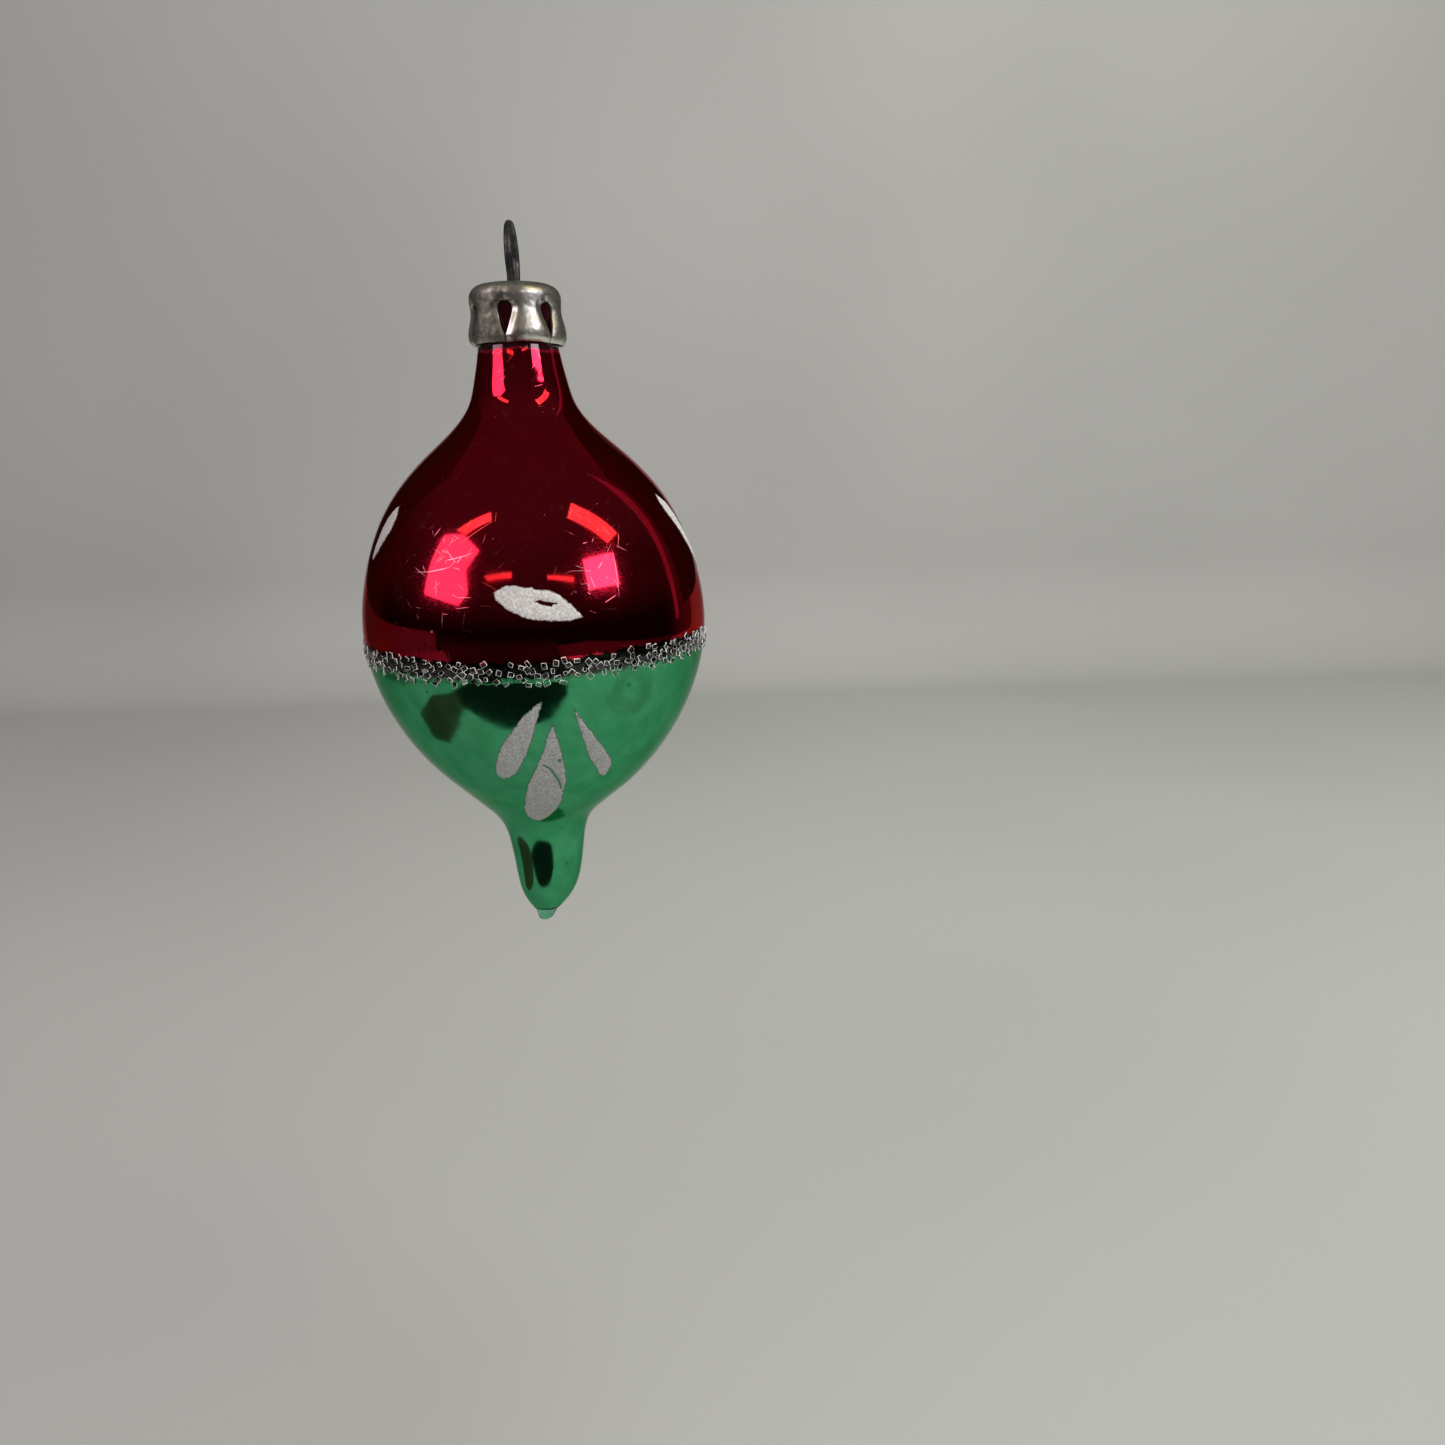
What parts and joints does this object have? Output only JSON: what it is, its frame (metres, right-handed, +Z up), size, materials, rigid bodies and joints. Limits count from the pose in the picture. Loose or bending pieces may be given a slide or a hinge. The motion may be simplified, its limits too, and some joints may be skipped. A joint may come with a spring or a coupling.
{
  "type": "hanging glass ornament",
  "caption": "Blown-glass teardrop ornament with a drawn spike, lacquered red over green, with a glitter band, painted strokes, a slotted metal cap and a wire hanging eye.",
  "frame": {"origin": "inside top of the wire eye, where a hook bears; the girth is 49.4 mm below it", "axes": "+Z up along the bulb's axis; +X along the eye's axis, the way a hook passes through; the front's painted motif faces -Y"},
  "size_m": [0.0441, 0.0441, 0.0895],
  "materials": {
    "glass": "thin clear blown glass, faintly green",
    "silvering": "mirror silvering on the inside of the glass",
    "red_lacquer": "glossy transparent crimson lacquer",
    "green_lacquer": "satin green lacquer, slightly clouded",
    "adhesive": "thin clear adhesive over the meeting of the two lacquers",
    "glitter": "small angular clear glass grains",
    "paint": "matt off-white brushed paint, worn at the edges",
    "cap_metal": "dull tarnished tinplate with bright rubbed edges",
    "wire": "dark oxidised steel spring wire"
  },
  "bodies": {
    "hanger": {"hanger_wire": "wire"},
    "cap": {"cap": "cap_metal"},
    "bulb": {"glass_shell": "glass", "mirror_lining": "silvering", "red_lacquer": "red_lacquer", "green_lacquer": "green_lacquer", "glitter_adhesive": "adhesive", "glitter_grains": "glitter", "front_lozenge": "paint", "front_petal_left": "paint", "front_petal_middle": "paint", "front_petal_right": "paint", "back_lozenge": "paint", "back_petal_left": "paint", "back_petal_middle": "paint", "back_petal_right": "paint", "left_leaf": "paint", "right_leaf": "paint"}
  },
  "joints": [
    {"name": "hanger_tilt", "type": "hinge", "parent": "hanger", "child": "cap", "pos_m": [0, 0, -0.00655], "axis": [0, 1, 0], "range_deg": [-6, 6]},
    {"name": "cap_pull_off", "type": "slide", "parent": "cap", "child": "bulb", "axis": [0, 0, -1], "range_m": [0, 0.024]}
  ]
}
